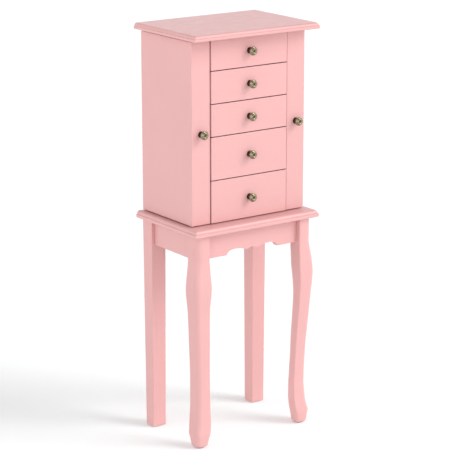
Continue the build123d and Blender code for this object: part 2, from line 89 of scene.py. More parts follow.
def modified(mesh, *modifiers):
    """A new mesh with modifiers applied, each given as (type, settings)."""
    holder = bpy.data.objects.new("holder", mesh)
    scene.collection.objects.link(holder)
    for kind, settings in modifiers:
        modifier = holder.modifiers.new(kind, kind)
        for key, value in settings.items():
            setattr(modifier, key, value)
    graph = bpy.context.evaluated_depsgraph_get()
    graph.update()
    result = bpy.data.meshes.new_from_object(
        holder.evaluated_get(graph), preserve_all_data_layers=True, depsgraph=graph)
    bpy.data.objects.remove(holder)
    return result


def mesh_from(bm, smooth=True):
    """A mesh from a bmesh, which is freed, with its faces turned outward."""
    bmesh.ops.recalc_face_normals(bm, faces=bm.faces)
    for face in bm.faces:
        face.smooth = smooth
    mesh = bpy.data.meshes.new("mesh")
    bm.to_mesh(mesh)
    bm.free()
    return mesh


def rounded(mesh, width, segments=2, angle=28.0):
    """Softens edges sharper than an angle, by a width in mm, and keeps the flats flat."""
    return modified(
        mesh,
        ("BEVEL", {"width": width * MM, "segments": segments, "limit_method": "ANGLE",
                   "angle_limit": math.radians(angle), "miter_outer": "MITER_ARC"}),
        ("WEIGHTED_NORMAL", {"weight": 100, "keep_sharp": False}),
    )


MERGE_DISTANCE = 2e-6
FLAT_ANGLE = math.radians(0.6)


def cad_mesh(node):
    """A copy of a CAD node's mesh with its points merged and its flats in one face each."""
    bm = bmesh.new()
    bm.from_mesh(nodes[node].data)
    for layers in (bm.loops.layers.float_vector, bm.loops.layers.uv):
        for layer in list(layers.values()):
            layers.remove(layer)
    bmesh.ops.remove_doubles(bm, verts=bm.verts, dist=MERGE_DISTANCE)
    bmesh.ops.dissolve_limit(bm, angle_limit=FLAT_ANGLE, verts=bm.verts, edges=bm.edges,
                             use_dissolve_boundaries=False)
    mesh = mesh_from(bm)
    for attribute in list(mesh.attributes):
        if attribute.name == "custom_normal":
            mesh.attributes.remove(attribute)
    return mesh


def finished(node, material, width):
    """The CAD node's shape with its edges softened by a width in mm, in its place."""
    mesh = rounded(cad_mesh(node), width)
    return add_piece(node + "_finished", mesh, body_of(node), material, [node])


def ring_loft(bm, rings):
    """Joins closed rings of points, each the same length, into a skin closed at both ends."""
    rows = [[bm.verts.new(p) for p in ring] for ring in rings]
    count = len(rows[0])
    for lower, upper in zip(rows, rows[1:]):
        for i in range(count):
            j = (i + 1) % count
            bm.faces.new((lower[i], lower[j], upper[j], upper[i]))
    bm.faces.new(list(reversed(rows[0])))
    bm.faces.new(rows[-1])


POLE_DISTANCE = 1e-7


def circle(radius, count):
    """Points evenly round a circle about the origin."""
    return [(radius * math.cos(2 * math.pi * k / count), radius * math.sin(2 * math.pi * k / count))
            for k in range(count)]


def lathe(profile, segments, steps):
    """A body turned about Z from (radius, height) points, smoothed through them, in mm."""
    points = smooth_path([(r, 0.0, h) for r, h in profile], steps)
    bm = bmesh.new()
    ring_loft(bm, [[(x, y, height * MM) for x, y in circle(max(radius, 0.0) * MM, segments)]
                   for radius, _, height in points])
    bmesh.ops.remove_doubles(bm, verts=bm.verts, dist=POLE_DISTANCE)
    return mesh_from(bm)


def smooth_path(points, steps):
    """Points on a Catmull-Rom curve through the given points."""
    pts = [np.array(p, float) for p in points]
    pts = [2 * pts[0] - pts[1]] + pts + [2 * pts[-1] - pts[-2]]
    out = []
    for a, b, c, d in zip(pts, pts[1:], pts[2:], pts[3:]):
        for k in range(steps):
            t = k / steps
            out.append(0.5 * (2 * b + (c - a) * t + (2 * a - 5 * b + 4 * c - d) * t ** 2
                              + (3 * b - a - 3 * c + d) * t ** 3))
    out.append(pts[-2])
    return out


def tube(points, radius, segments):
    """A round rod along points in metres, closed at both ends."""
    bm = bmesh.new()
    line = [Vector(p) for p in points]
    rings = []
    side = None
    for i, p in enumerate(line):
        ahead = (line[min(i + 1, len(line) - 1)] - line[max(i - 1, 0)]).normalized()
        if side is None:
            side = ahead.orthogonal().normalized()
        side = (side - ahead * side.dot(ahead)).normalized()
        up = ahead.cross(side)
        rings.append([p + (side * x + up * y) * radius for x, y in circle(1.0, segments)])
    ring_loft(bm, rings)
    return mesh_from(bm)


def joined(parts):
    """One mesh from (mesh, matrix) pairs."""
    bm = bmesh.new()
    for mesh, matrix in parts:
        first = len(bm.verts)
        bm.from_mesh(mesh)
        bm.verts.ensure_lookup_table()
        for vert in bm.verts[first:]:
            vert.co = matrix @ vert.co
    mesh = bpy.data.meshes.new("joined")
    for face in bm.faces:
        face.smooth = True
    bm.to_mesh(mesh)
    bm.free()
    return mesh


def facing(direction, place):
    """Matrix that turns +Z to a direction and moves to a place."""
    turn = Vector(direction).to_track_quat("Z", "Y").to_matrix().to_4x4()
    return Matrix.Translation(Vector(place)) @ turn


# ------------------------------------------------------------------ materials
def map_range(tree, value, low, high, start, end, interpolation):
    """Adds a node that maps a value from one range to another, clamped."""
    made = tree.nodes.new("ShaderNodeMapRange")
    made.interpolation_type = interpolation
    tree.links.new(value, made.inputs["Value"])
    for key, number in (("From Min", low), ("From Max", high), ("To Min", start), ("To Max", end)):
        made.inputs[key].default_value = number
    return made.outputs["Result"]


class Shader:
    """Builds one procedural material on a Principled shader."""

    def __init__(self, name, **sockets):
        self.material = bpy.data.materials.new(name)
        self.material.use_nodes = True
        self.tree = self.material.node_tree
        self.surface = self.tree.nodes["Principled BSDF"]
        self.object_space = self.add("ShaderNodeTexCoord").outputs["Object"]
        for key, value in sockets.items():
            self.surface.inputs[key.replace("_", " ")].default_value = value

    def feed(self, socket, value):
        """Links a socket, or sets its constant, where a colour gets an alpha of 1."""
        if isinstance(value, bpy.types.NodeSocket):
            self.tree.links.new(value, socket)
        else:
            socket.default_value = (*value, 1.0) if isinstance(value, tuple) else value

    def add(self, kind, **inputs):
        """Adds a node and feeds its inputs, given by name."""
        made = self.tree.nodes.new(kind)
        for key, value in inputs.items():
            self.feed(made.inputs[key.title()], value)
        return made

    def link(self, source, target):
        """Links a socket to one of the shader's own, by name."""
        self.tree.links.new(source, self.surface.inputs[target])

    def stretched(self, scale):
        """Object space stretched by a scale along each axis."""
        mapping = self.add("ShaderNodeMapping", vector=self.object_space)
        mapping.inputs["Scale"].default_value = scale
        return mapping.outputs["Vector"]

    def noise(self, scale, detail=2.0, roughness=0.5, vector=None, distortion=0.0):
        """A noise value, over object space unless another vector is given."""
        made = self.add("ShaderNodeTexNoise", vector=vector or self.object_space, scale=scale,
                        detail=detail, roughness=roughness, distortion=distortion)
        return made.outputs["Fac"]

    def span(self, value, low, high, start=0.0, end=1.0):
        """Maps a value smoothly from one range to another, clamped."""
        return map_range(self.tree, value, low, high, start, end, "SMOOTHSTEP")

    def blend(self, factor, first, second):
        """Mixes two colours (tuples or sockets) by a factor."""
        made = self.tree.nodes.new("ShaderNodeMix")
        made.data_type = "RGBA"
        colors = [socket for socket in made.inputs if socket.type == "RGBA"]
        for socket, value in zip((made.inputs["Factor"], *colors), (factor, first, second)):
            self.feed(socket, value)
        return next(socket for socket in made.outputs if socket.type == "RGBA")

    def math(self, operation, first, second=0.0):
        """The result of a Math node on numbers or sockets."""
        made = self.tree.nodes.new("ShaderNodeMath")
        made.operation = operation
        self.feed(made.inputs[0], first)
        self.feed(made.inputs[1], second)
        return made.outputs["Value"]

    def bump(self, *layers):
        """Stacks bumps, each given as (height socket, distance in mm, strength)."""
        normal = None
        for height, distance, strength in layers:
            made = self.tree.nodes.new("ShaderNodeBump")
            made.inputs["Strength"].default_value = strength
            made.inputs["Distance"].default_value = distance * MM
            self.tree.links.new(height, made.inputs["Height"])
            if normal is not None:
                self.tree.links.new(normal, made.inputs["Normal"])
            normal = made.outputs["Normal"]
        self.link(normal, "Normal")


PAINT = (0.67, 0.362, 0.354)
# dark tone of the painted shade inside the gaps between parts and under the cabinet
GAP_SHADE_TONE = (0.26, 0.135, 0.13)

# noise stretch along each axis: long along the fibres, fine across them
GRAIN_UP = (420.0, 420.0, 9.0)
GRAIN_LEVEL = (9.0, 420.0, 420.0)
GRAIN_DEEP = (420.0, 9.0, 420.0)

X_AXIS, Y_AXIS, Z_AXIS = 0, 1, 2


def shade(color, factor):
    """A colour made lighter or darker."""
    return tuple(min(c * factor, 1.0) for c in color)


def make_paint(name, grain, gap_shade=()):
    """Satin lacquer over fine-grained wood.

    Painted shade darkens the edges inside the gaps between parts and the board under the
    cabinet. Its mask is the product of ramps, each given as (axis, plane, from, to, mask at
    from, mask at to), with from and to in mm past the plane.
    A ramp along X is the same on both sides of the middle.
    """
    s = Shader(name, Roughness=0.35, Specular_IOR_Level=0.4)
    fibres = s.noise(1.0, 3.0, 0.6, s.stretched(grain))
    clouds = s.noise(7.0, 3.0)
    tone = s.blend(s.span(clouds, 0.3, 0.7), shade(PAINT, 0.985), shade(PAINT, 1.01))
    tone = s.blend(s.span(fibres, 0.35, 0.75, 0.0, 0.5), tone, shade(PAINT, 0.972))
    if gap_shade:
        places = s.add("ShaderNodeSeparateXYZ", vector=s.object_space).outputs
        mask = None
        for axis, plane, low, high, at_low, at_high in gap_shade:
            place = s.math("ABSOLUTE", places[0]) if axis == X_AXIS else places[axis]
            ramp = s.span(place, plane + low * MM, plane + high * MM, at_low, at_high)
            mask = ramp if mask is None else s.math("MULTIPLY", mask, ramp)
        # painted shade: the paint turns dark inside the gaps and under the cabinet
        tone = s.blend(mask, tone, GAP_SHADE_TONE)
    s.link(tone, "Base Color")
    s.link(s.span(s.noise(40.0, 3.0), 0.25, 0.75, 0.31, 0.39), "Roughness")
    s.bump((fibres, 0.05, 0.25), (s.noise(900.0, 2.0), 0.03, 0.3))
    return s.material


paint_upright = make_paint("satin_paint_upright_grain", GRAIN_UP)
paint_level = make_paint("satin_paint_level_grain", GRAIN_LEVEL)
paint_deep = make_paint("satin_paint_depth_grain", GRAIN_DEEP)

face_low, face_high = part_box("drawer_2_front")
stile_low, stile_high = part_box("right_door_stile")
board_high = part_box("stand_top")[1]
# painted shade on the edges in the gaps round the drawer fronts and beside the stiles, and on the
# stand board under the cabinet
paint_fronts = make_paint("satin_paint_drawer_fronts", GRAIN_LEVEL, [
    (X_AXIS, face_high.x, -0.8, -0.3, 1.0, 0.0),
    (Y_AXIS, face_low.y, 1.2, 2.2, 0.0, 1.0),
    (Y_AXIS, face_high.y, -0.9, -0.4, 1.0, 0.0)])
paint_stiles = make_paint("satin_paint_stiles", GRAIN_UP, [
    (X_AXIS, stile_low.x, 0.2, 0.7, 1.0, 0.0),
    (Y_AXIS, stile_low.y, 1.2, 2.2, 0.0, 0.6)])
paint_stand = make_paint("satin_paint_stand_board", GRAIN_LEVEL, [
    (X_AXIS, stile_high.x, -1.0, -0.3, 1.0, 0.0),
    (Y_AXIS, stile_low.y, 0.3, 1.0, 0.0, 1.0),
    (Z_AXIS, board_high.z, -0.4, -0.1, 0.0, 0.4)])


def make_bare_wood():
    """Planed, unpainted pine with wide rings."""
    s = Shader("planed_pine", Roughness=0.62)
    fibres = s.noise(1.0, 5.0, 0.65, s.stretched((300.0, 12.0, 300.0)))
    rings = s.noise(1.0, 2.0, 0.5, s.stretched((60.0, 4.0, 60.0)), 1.2)
    tone = s.blend(s.span(rings, 0.35, 0.65), (0.47, 0.33, 0.19), (0.57, 0.42, 0.26))
    tone = s.blend(s.span(fibres, 0.45, 0.8, 0.0, 0.7), tone, (0.35, 0.23, 0.12))
    s.link(tone, "Base Color")
    s.link(s.span(fibres, 0.3, 0.7, 0.55, 0.72), "Roughness")
    s.bump((fibres, 0.12, 0.5))
    return s.material


bare_wood = make_bare_wood()


def make_antique_brass():
    """Aged cast brass for a knob: dark in its foot, waist and dimple, worn bright on its ring."""
    s = Shader("antique_brass", Metallic=1.0, Roughness=0.4)
    split = s.add("ShaderNodeSeparateXYZ", vector=s.object_space)
    x, y, z = split.outputs
    reach = s.math("SQRT", s.math("ADD", s.math("MULTIPLY", x, x), s.math("MULTIPLY", y, y)))
    mottle = s.noise(260.0, 4.0, 0.6)
    # heights from the knob's foot and distances from its axis, in metres
    height = s.math("ADD", z, s.math("MULTIPLY", s.math("SUBTRACT", mottle, 0.5), 0.003))
    head = s.span(height, 0.006, 0.0125)
    dimple = s.span(reach, 0.0012, 0.0034, 1.0, 0.0)
    top = s.span(z, 0.0145, 0.0165)
    worn = s.math("MULTIPLY", head, s.math("SUBTRACT", 1.0, s.math("MULTIPLY", dimple, top)))
    tone = s.blend(worn, (0.045, 0.034, 0.021), (0.275, 0.237, 0.158))
    tone = s.blend(s.span(mottle, 0.5, 0.8, 0.0, 0.22), tone, (0.12, 0.095, 0.055))
    s.link(tone, "Base Color")
    s.link(s.span(mottle, 0.3, 0.7, 0.2, 0.34), "Roughness")
    s.bump((mottle, 0.06, 0.3))
    return s.material


antique_brass = make_antique_brass()


def make_metal(name, bright, dull, rough_low, rough_high, scratch):
    """Plated or polished metal with dull stains and fine scratches."""
    s = Shader(name, Metallic=1.0, Roughness=rough_low)
    streaks = s.noise(1.0, 4.0, 0.6, s.stretched(scratch))
    stains = s.noise(90.0, 3.0)
    s.link(s.blend(s.span(stains, 0.4, 0.75), bright, dull), "Base Color")
    s.link(s.span(streaks, 0.3, 0.7, rough_low, rough_high), "Roughness")
    s.bump((streaks, 0.02, 0.3))
    return s.material


hook_brass = make_metal("polished_brass", (0.66, 0.49, 0.22), (0.54, 0.38, 0.16), 0.16, 0.28,
                        (500.0, 500.0, 500.0))
hinge_steel = make_metal("nickel_plate", (0.46, 0.455, 0.445), (0.36, 0.355, 0.345), 0.24, 0.38,
                         (1200.0, 1200.0, 60.0))


def make_velvet():
    """Felt with a short pile, brushed in patches."""
    s = Shader("short_pile_velvet", Roughness=0.9, Sheen_Weight=0.55, Sheen_Roughness=0.35,
               Specular_IOR_Level=0.1, Sheen_Tint=(1.0, 0.95, 0.86, 1.0))
    nap = s.noise(18.0, 4.0, 0.6, distortion=0.6)
    pile = s.noise(2200.0, 2.0)
    tone = s.blend(s.span(nap, 0.35, 0.7), (0.62, 0.55, 0.45), (0.71, 0.65, 0.56))
    tone = s.blend(s.span(pile, 0.4, 0.8, 0.0, 0.45), tone, (0.46, 0.39, 0.31))
    s.link(tone, "Base Color")
    s.bump((nap, 0.3, 0.25), (pile, 0.25, 0.6))
    return s.material


velvet = make_velvet()


def make_plastic(name, low, high, rough_low, rough_high):
    """Moulded plastic with a fine speckle."""
    s = Shader(name, Roughness=rough_low)
    speckle = s.noise(1400.0, 2.0)
    s.link(s.blend(s.span(s.noise(60.0, 3.0), 0.3, 0.7), low, high), "Base Color")
    s.link(s.span(speckle, 0.3, 0.7, rough_low, rough_high), "Roughness")
    s.bump((speckle, 0.03, 0.35))
    return s.material


black_glide = make_plastic("black_nylon", (0.018, 0.018, 0.019), (0.03, 0.03, 0.031), 0.5, 0.66)
catch_plastic = make_plastic("ivory_plastic", (0.6, 0.57, 0.52), (0.65, 0.62, 0.57), 0.38, 0.5)


def make_mirror():
    """Silvered glass with a little haze."""
    s = Shader("silvered_glass", Metallic=1.0, Roughness=0.02, Coat_Weight=0.6,
               Coat_Roughness=0.02)
    haze = s.noise(14.0, 2.0)
    s.link(s.blend(s.span(haze, 0.3, 0.7), (0.88, 0.905, 0.9), (0.91, 0.93, 0.925)), "Base Color")
    s.link(s.span(haze, 0.3, 0.7, 0.012, 0.028), "Roughness")
    return s.material


mirror_glass = make_mirror()

# ------------------------------------------------------------------ moulded boards
EDGE_INSET = 7.6
EDGE_STEP = 2.0
EDGE_EASE = 0.9
PLAN_CORNER = 3.2 * MM
CORNER_STEPS = 6


def arc_points(start, end, radius, steps):
    """Points on the outward-bulging arc between two (inset, height) points."""
    a, b = Vector(start), Vector(end)
    middle = (a + b) / 2
    half = (b - a).length / 2
    across = Vector((-(b - a).y, (b - a).x)).normalized()
    centre = middle - across * math.sqrt(radius ** 2 - half ** 2)
    if centre.x < middle.x:
        centre = middle + across * math.sqrt(radius ** 2 - half ** 2)
    first = math.atan2(a.y - centre.y, a.x - centre.x)
    last = math.atan2(b.y - centre.y, b.x - centre.x)
    if last - first > math.pi:
        last -= 2 * math.pi
    if first - last > math.pi:
        last += 2 * math.pi
    return [(centre.x + radius * math.cos(first + (last - first) * k / steps),
             centre.y + radius * math.sin(first + (last - first) * k / steps))
            for k in range(steps + 1)]


def moulded_edge(thickness):
    """(inset, height) points up the moulded edge, in mm, with small chamfers at its corners."""
    middle = thickness / 2
    points = arc_points((EDGE_STEP, 0.0), (0.0, EDGE_STEP), EDGE_STEP, 5)
    points += arc_points((0.0, middle - EDGE_EASE), (EDGE_EASE, middle), EDGE_EASE, 3)
    points += [(EDGE_STEP - 0.15, middle + 0.05), (EDGE_STEP, middle + 0.2)]
    ovolo = arc_points((EDGE_STEP, middle + EDGE_STEP), (EDGE_INSET, thickness), EDGE_INSET, 12)
    points += ovolo[:-1]
    points += [(EDGE_INSET - 0.15, thickness - 0.08), (EDGE_INSET + 0.4, thickness)]
    return points


def moulded_board(node, paint):
    """The board with its moulded front and ends, as rings around its outline."""
    low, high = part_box(node)
    thickness = (high.z - low.z) / MM
    bm = bmesh.new()
    rings = []
    for inset, height in moulded_edge(thickness):
        x = high.x - inset * MM
        y = low.y + inset * MM
        z = low.z + height * MM
        ring = [(x, high.y, z)]
        for k in range(CORNER_STEPS + 1):
            a = math.radians(-90.0 * k / CORNER_STEPS)
            ring.append((x - PLAN_CORNER + PLAN_CORNER * math.cos(a),
                         y + PLAN_CORNER + PLAN_CORNER * math.sin(a), z))
        ring += [(-px, py, pz) for px, py, pz in reversed(ring)]
        rings.append(ring)
    ring_loft(bm, rings)
    mesh = rounded(mesh_from(bm), 0.5, angle=40.0)
    return add_piece(node + "_finished", mesh, body_of(node), paint, [node])


moulded_board("lid_panel", paint_level)
moulded_board("stand_top", paint_stand)

# ------------------------------------------------------------------ front legs
apron_low, apron_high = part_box("front_apron")
side_low, side_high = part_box("right_apron")
back_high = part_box("rear_apron")[1]
rear_low, rear_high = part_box("rear_right_leg")
LEG_SIZE = 34.5
BLOCK_BELOW_APRON = 1.0
block_inner_x = apron_high.x / MM
block_back_y = side_low.y / MM
block_outer_x = block_inner_x + LEG_SIZE
block_front_y = block_back_y - LEG_SIZE
block_bottom = apron_low.z / MM - BLOCK_BELOW_APRON
block_top = apron_high.z / MM
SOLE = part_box("front_right_leg")[0].z / MM
STATION_SPACING = 4.0
FOOT_TOP = 30.0

# In mm: height, outer faces out, inner faces in, radii of the outer, back and side corners.
LEG_STATIONS = [
    (SOLE, -8.4, -6.4, 8.0, 7.0, 7.0),
    (SOLE + 0.8, -6.5, -4.5, 8.5, 7.5, 7.0),
    (SOLE + 3.0, -4.7, -2.7, 9.0, 8.0, 6.5),
    (12.0, -3.4, -1.3, 9.0, 9.0, 5.5),
    (24.0, -2.1, 0.8, 9.0, 11.0, 4.5),
    (30.0, -1.7, 2.2, 8.0, 13.0, 3.0),
    (40.0, -3.2, 4.4, 9.0, 16.0, 3.0),
    (52.0, -4.9, 5.9, 11.0, 18.0, 3.0),
    (70.0, -6.5, 6.55, 11.0, 19.0, 3.0),
    (92.0, -7.9, 6.45, 11.0, 19.0, 3.0),
    (118.0, -7.8, 5.85, 11.0, 20.0, 3.0),
    (block_bottom - 256, -6.4, 4.3, 11.0, 20.0, 3.0),
    (block_bottom - 206, -3.85, 2.75, 11.0, 19.0, 3.0),
    (block_bottom - 181, -2.1, 1.7, 11.0, 19.0, 3.0),
    (block_bottom - 156, -0.5, 0.5, 11.0, 18.0, 3.0),
    (block_bottom - 131, 1.05, -0.3, 11.0, 18.0, 3.0),
    (block_bottom - 111, 2.4, -0.75, 11.0, 17.0, 3.0),
    (block_bottom - 94, 4.0, -0.3, 12.0, 16.0, 3.0),
    (block_bottom - 82, 4.9, 0.5, 13.0, 16.0, 3.0),
    (block_bottom - 70, 5.3, 1.3, 13.0, 16.0, 3.0),
    (block_bottom - 56, 4.8, 1.85, 13.0, 14.0, 3.0),
    (block_bottom - 42, 3.6, 1.45, 13.0, 11.0, 3.0),
    (block_bottom - 26, 2.0, 0.8, 14.0, 7.0, 3.0),
    (block_bottom - 12, 0.7, 0.35, 16.0, 4.0, 3.0),
    (block_bottom, 0.0, 0.0, 18.0, 3.0, 3.0),
]


def leg_ring(station):
    """Points around the right front leg at one station, in metres."""
    height, out, inward, outer, back, side = station
    x0, x1 = block_inner_x - inward, block_outer_x + out
    y0, y1 = block_front_y - out, block_back_y + inward
    corners = [(x1 - outer, y0 + outer, outer, -90.0), (x1 - side, y1 - side, side, 0.0),
               (x0 + back, y1 - back, back, 90.0), (x0 + side, y0 + side, side, 180.0)]
    ring = []
    for cx, cy, radius, start in corners:
        arc = []
        for k in range(9):
            a = math.radians(start + 90.0 * k / 8)
            arc.append((cx + radius * math.cos(a), cy + radius * math.sin(a)))
        if ring:
            ring += between(ring[-1], arc[0])
        ring += arc
    ring += between(ring[-1], ring[0])
    return [(x * MM, y * MM, height * MM) for x, y in ring]


def between(a, b, count=5):
    """Points inside a straight run, without its ends."""
    return [(a[0] + (b[0] - a[0]) * k / count, a[1] + (b[1] - a[1]) * k / count)
            for k in range(1, count)]


def along_stations(stations):
    """Stations at even heights, closer in the foot, on a smooth curve through the given ones."""
    table = np.array(stations, float)
    z = table[:, 0]
    slopes = np.gradient(table, z, axis=0)
    heights = [z[0]]
    while heights[-1] + STATION_SPACING < z[-1]:
        in_foot = heights[-1] <= FOOT_TOP
        heights.append(heights[-1] + (STATION_SPACING / 3 if in_foot else STATION_SPACING))
    heights.append(z[-1])
    out = []
    for h in heights:
        i = min(max(int(np.searchsorted(z, h)) - 1, 0), len(z) - 2)
        span = z[i + 1] - z[i]
        t = (h - z[i]) / span
        row = ((2 * t ** 3 - 3 * t ** 2 + 1) * table[i]
               + (t ** 3 - 2 * t ** 2 + t) * span * slopes[i]
               + (3 * t ** 2 - 2 * t ** 3) * table[i + 1]
               + (t ** 3 - t ** 2) * span * slopes[i + 1])
        row[0] = h
        out.append(row)
    return out


def front_leg(name, side):
    """The cabriole leg on one side, 1 for right and -1 for left."""
    rings = [leg_ring(row) for row in along_stations(LEG_STATIONS)]
    rings.append(leg_ring((block_top, *LEG_STATIONS[-1][1:])))
    if side < 0:
        rings = [[(-x, y, z) for x, y, z in reversed(ring)] for ring in rings]
    bm = bmesh.new()
    ring_loft(bm, rings)
    mesh = rounded(mesh_from(bm), 0.8, 3, 50.0)
    add_piece(name + "_finished", mesh, body_of(name), paint_upright, [name])


front_leg("front_right_leg", 1)
front_leg("front_left_leg", -1)

# ------------------------------------------------------------------ boards in the CAD shape
UPRIGHT = ["rear_left_leg", "rear_right_leg", "cabinet_back", "left_partition",
           "right_partition", "left_door_panel", "right_door_panel"]
LEVEL = ["front_apron", "rear_apron", "cabinet_base", "tray_floor", "tray_walls",
         "tray_dividers", "mirror_frame"]
DEEP = ["left_apron", "right_apron", "left_door_inner_boards", "right_door_inner_boards"]
FRONTS = []
DRAWERS = range(1, 6)
for index in DRAWERS:
    FRONTS.append(f"drawer_{index}_front")
    DEEP.append(f"drawer_{index}_box")
STILES = ["left_door_stile", "right_door_stile"]
PAINTED_EASE = 0.6
BARE_EASE = 0.5
for group, paint in ((UPRIGHT, paint_upright), (LEVEL, paint_level), (DEEP, paint_deep),
                     (FRONTS, paint_fronts), (STILES, paint_stiles)):
    for node in group:
        finished(node, paint, PAINTED_EASE)
for node in ("drawer_runners", "corner_braces"):
    finished(node, bare_wood, BARE_EASE)

# ------------------------------------------------------------------ knobs and screws
KNOB_LENGTH = 18.5
WOOD_SCREW_HEAD = 2.4
THREAD_PITCH = 1.4
SCREW_POINT = 3.0
KNOB_PROFILE = [
    (0.0, 0.0), (6.4, 0.0), (6.6, 0.3), (6.6, 1.3), (6.2, 1.8), (5.3, 2.1), (4.7, 2.8),
    (4.3, 4.2), (4.25, 5.6), (4.8, 7.2), (6.2, 8.7), (8.0, 9.9), (9.1, 11.2), (9.5, 12.8),
    (9.35, 14.0), (8.8, 15.0), (8.0, 15.6), (7.5, 15.9), (7.1, 16.6), (6.4, 17.7), (5.5, 18.35),
    (4.8, 18.4), (4.0, 17.9), (3.1, 17.1), (2.1, 16.75), (1.0, 16.8), (0.0, 16.85)]
knob_mesh = lathe(KNOB_PROFILE, 56, 4)
knob_mesh.materials.append(antique_brass)


def cross_head_screw(radius, height, shank_radius, shank_length):
    """A domed, cross-recessed head up from 0 along +Z, and a threaded shank below, in mm."""
    head = lathe([(0.0, 0.0), (radius * 0.99, 0.0), (radius, height * 0.15),
                  (radius * 0.96, height * 0.5), (radius * 0.75, height * 0.86),
                  (radius * 0.4, height * 0.98), (0.0, height)], 36, 4)
    bm = bmesh.new()
    long, wide = radius * 1.1, radius * 0.24
    lift = Matrix.Translation((0.0, 0.0, height * 1.05 * MM))
    for x, y in ((long, wide), (wide, long)):
        size = Matrix.Diagonal((x * MM, y * MM, height * 1.1 * MM, 1.0))
        bmesh.ops.create_cube(bm, size=1.0, matrix=lift @ size)
    cutter = bpy.data.objects.new("cutter", mesh_from(bm, smooth=False))
    scene.collection.objects.link(cutter)
    head = modified(head, ("BOOLEAN", {"object": cutter, "operation": "DIFFERENCE",
                                       "solver": "EXACT", "use_self": True}),
                    ("WEIGHTED_NORMAL", {"weight": 80}))
    bpy.data.objects.remove(cutter)
    if not shank_length:
        return head
    threads = []
    z = 0.0
    while z < shank_length - SCREW_POINT:
        threads += [(shank_radius * 0.8, -z), (shank_radius, -z - THREAD_PITCH / 2)]
        z += THREAD_PITCH
    shank = lathe([(0.0, 0.2), (shank_radius * 0.8, 0.2), *threads,
                   (shank_radius * 0.75, -shank_length + 2.4), (0.0, -shank_length)], 20, 2)
    return joined([(head, Matrix()), (shank, Matrix())])


wood_screw = cross_head_screw(4.0, WOOD_SCREW_HEAD, 2.0, 22.0)
KNOBS = [f"drawer_{index}_knob" for index in DRAWERS] + ["left_door_knob", "right_door_knob"]
for node in KNOBS:
    low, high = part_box(node)
    x = (low.x + high.x) / 2
    z = (low.z + high.z) / 2
    foot_y = low.y + KNOB_LENGTH * MM
    knob = bpy.data.objects.new(node + "_turned", knob_mesh)
    scene.collection.objects.link(knob)
    knob.matrix_world = facing((0, -1, 0), (x, foot_y, z))
    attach(knob, body_of(node))
    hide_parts(node)
    screw = joined([(wood_screw, facing((0, 1, 0), (x, high.y - WOOD_SCREW_HEAD * MM, z)))])
    add_piece(node + "_screw", screw, body_of(node), hinge_steel)

# ------------------------------------------------------------------ stand hardware
BOLT_PITCH = 1.6
BOLT_TURNS = 30
BOLT_CORE, BOLT_RADIUS = 2.6, 3.0
BOLT_LEAD = 0.4
NUT_RADIUS, NUT_HEIGHT = 5.5, 4.6
# along the bolt, out from the inner corner of the aprons
BOLT_END, WASHER_PLACE, NUT_PLACE = 30.0, 15.6, 16.6
SCREW_INSET = 26.0

thread = []
for turn in range(BOLT_TURNS):
    top = -turn * BOLT_PITCH - BOLT_LEAD
    thread += [(BOLT_CORE, top), (BOLT_RADIUS, top - BOLT_PITCH / 2)]
bolt_mesh = lathe([(0.0, 0.0), (2.2, 0.0), *thread, (0.0, -BOLT_TURNS * BOLT_PITCH)], 20, 2)


def hex_nut():
    """A six-sided nut that stands on 0, without its hole, which the bolt fills."""
    bm = bmesh.new()
    ring_loft(bm, [[(x, y, height * MM) for x, y in circle(NUT_RADIUS * MM, 6)]
                   for height in (0.0, NUT_HEIGHT)])
    return rounded(mesh_from(bm), 0.7)


nut_mesh = hex_nut()
washer_mesh = lathe([(0.0, 0.0), (6.9, 0.0), (7.0, 0.3), (7.0, 0.8), (6.8, 1.1), (0.0, 1.1)],
                    36, 1)
brace_low, brace_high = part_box("corner_braces")
bolt_z = (brace_low.z + brace_high.z) / 2
bolts = []
for x_corner, y_corner, toward in ((apron_high.x, side_low.y, 1.0),
                                   (back_high.x, side_high.y, -1.0)):
    for side in (-1.0, 1.0):
        outward = Vector((-side, toward, 0.0)).normalized()
        corner = Vector((side * x_corner, y_corner, bolt_z))
        for mesh, place in ((bolt_mesh, BOLT_END), (washer_mesh, WASHER_PLACE),
                            (nut_mesh, NUT_PLACE)):
            bolts.append((mesh, facing(outward, corner + outward * place * MM)))
partition_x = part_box("right_partition")[0].x
base_low, base_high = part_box("cabinet_base")
for x in (partition_x - SCREW_INSET * MM, -partition_x + SCREW_INSET * MM):
    for y in (base_low.y + SCREW_INSET * MM, base_high.y - SCREW_INSET * MM):
        bolts.append((wood_screw, facing((0, 0, -1), (x, y, block_top * MM))))
add_piece("stand_screws_threaded", joined(bolts), body_of("stand_screws"),
          hinge_steel, ["stand_screws"])

glides = []
glide_mesh = lathe([(0.0, 0.03), (5.6, 0.03), (7.4, 0.28), (8.0, 0.9), (8.0, 2.0), (0.0, 2.0)],
                   40, 3)
sole_shift = (LEG_STATIONS[0][1] - LEG_STATIONS[0][2]) / 2
sole_x = (block_outer_x + block_inner_x) / 2 + sole_shift
sole_y = (block_front_y + block_back_y) / 2 - sole_shift
rear_x = (rear_low.x + rear_high.x) / 2
rear_y = (rear_low.y + rear_high.y) / 2
for side in (-1.0, 1.0):
    for x, y in ((sole_x * MM, sole_y * MM), (rear_x, rear_y)):
        glides.append((glide_mesh, Matrix.Translation((side * x, y, 0.0))))
add_piece("foot_glides_moulded", joined(glides), body_of("foot_glides"),
          black_glide, ["foot_glides"])

# ------------------------------------------------------------------ hinges
leaf_screw = cross_head_screw(2.3, 0.7, 1.0, 0.0)
HINGE_SCREW = 7.4
HINGE_PITCH = 12.5
BARREL = 2.5
HALF_LEAF = 19.0 * MM
LEAF_THICKNESS = 1.2 * MM
ROW = (-HINGE_PITCH * MM, 0.0, HINGE_PITCH * MM)


def with_screws(node, places):
    """A node's leaves with softened edges, and a screw head facing the back at each place."""
    parts = [(rounded(cad_mesh(node), 0.25), Matrix())]
    parts += [(leaf_screw, facing((0, 1, 0), place)) for place in places]
    add_piece(node + "_finished", joined(parts), body_of(node), hinge_steel, [node])


